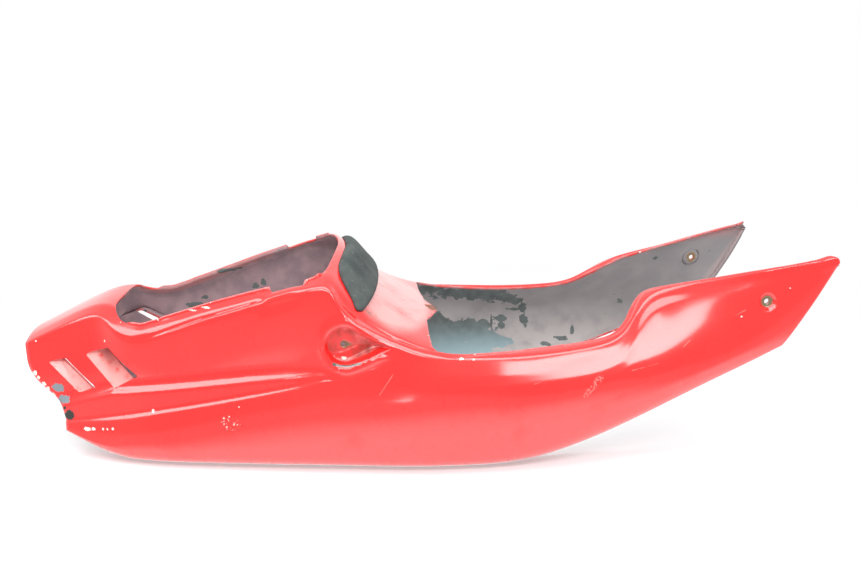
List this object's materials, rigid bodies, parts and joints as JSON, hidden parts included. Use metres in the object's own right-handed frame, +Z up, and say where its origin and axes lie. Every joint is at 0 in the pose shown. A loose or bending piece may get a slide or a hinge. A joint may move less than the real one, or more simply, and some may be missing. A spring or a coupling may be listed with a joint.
{
  "type": "motorcycle rear fairing",
  "caption": "Rear fairing of a motorcycle: a moulded tail shell with louvred flanks, a hump with a passenger-seat opening, a rider-seat cut-out, forward prongs and a bump pad.",
  "frame": {"origin": "middle of the footprint, on the surface the fairing stands on", "axes": "+X forward along the bike, +Y to the bike's left, +Z up"},
  "size_m": [0.9726, 0.3718, 0.2346],
  "materials": {
    "paint": "gloss red paint, chipped",
    "pad_foam": "matt black foam"
  },
  "bodies": {
    "root": {"tail_shell": "paint", "backrest_pad": "pad_foam"}
  },
  "joints": []
}
